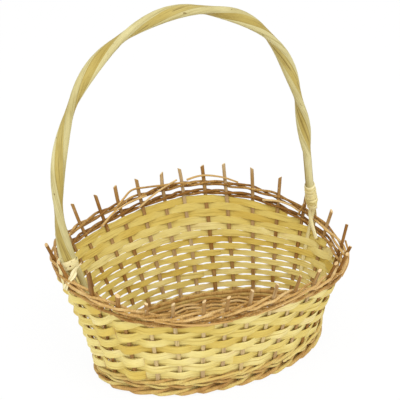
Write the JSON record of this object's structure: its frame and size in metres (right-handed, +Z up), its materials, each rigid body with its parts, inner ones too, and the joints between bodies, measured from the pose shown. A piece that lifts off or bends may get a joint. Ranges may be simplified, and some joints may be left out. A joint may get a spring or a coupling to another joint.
{
  "type": "gift basket",
  "caption": "Oval wicker gift basket with flared woven walls, upright stake tips round the rim and a tall fixed hoop handle of twisted peeled rods.",
  "frame": {"origin": "centre of the footprint, on the ground plane under the foot rope", "axes": "+Z up; +X along the long side of the oval, from one handle foot to the other; +Y towards the high back of the rim"},
  "size_m": [0.3436, 0.2672, 0.3993],
  "materials": {
    "stake_brown": "unpeeled willow, semi-matt",
    "band_yellow": "split willow, satin",
    "border_brown": "thin round willow rods, semi-matt",
    "foot_rods": "thin round willow rods, semi-matt",
    "handle_peeled": "peeled willow, satin"
  },
  "bodies": {
    "root": {"band_01": "band_yellow", "band_02": "band_yellow", "band_03": "band_yellow", "band_04": "band_yellow", "band_05": "band_yellow", "band_06": "band_yellow", "band_07": "band_yellow", "band_08": "band_yellow", "band_09": "band_yellow", "band_10": "band_yellow", "band_11": "band_yellow", "band_12": "band_yellow", "band_13": "band_yellow", "band_14": "band_yellow", "base_mat": "band_yellow", "base_stick_cross_a": "stake_brown", "base_stick_cross_b": "stake_brown", "base_stick_long": "stake_brown", "binding_left": "handle_peeled", "binding_right": "handle_peeled", "border_low_a": "border_brown", "border_low_b": "border_brown", "border_top_a": "border_brown", "border_top_b": "border_brown", "foot_rope_a": "foot_rods", "foot_rope_b": "foot_rods", "foot_wale_a": "foot_rods", "foot_wale_b": "foot_rods", "handle_rod_a": "handle_peeled", "handle_rod_b": "handle_peeled", "stake_01": "stake_brown", "stake_02": "stake_brown", "stake_03": "stake_brown", "stake_04": "stake_brown", "stake_05": "stake_brown", "stake_06": "stake_brown", "stake_07": "stake_brown", "stake_08": "stake_brown", "stake_09": "stake_brown", "stake_10": "stake_brown", "stake_11": "stake_brown", "stake_12": "stake_brown", "stake_13": "stake_brown", "stake_14": "stake_brown", "stake_15": "stake_brown", "stake_16": "stake_brown", "stake_17": "stake_brown", "stake_18": "stake_brown", "stake_19": "stake_brown", "stake_20": "stake_brown", "stake_21": "stake_brown", "stake_22": "stake_brown", "stake_23": "stake_brown", "stake_24": "stake_brown", "stake_25": "stake_brown", "stake_26": "stake_brown", "stake_27": "stake_brown", "stake_28": "stake_brown", "stake_29": "stake_brown", "stake_30": "stake_brown"}
  },
  "joints": []
}
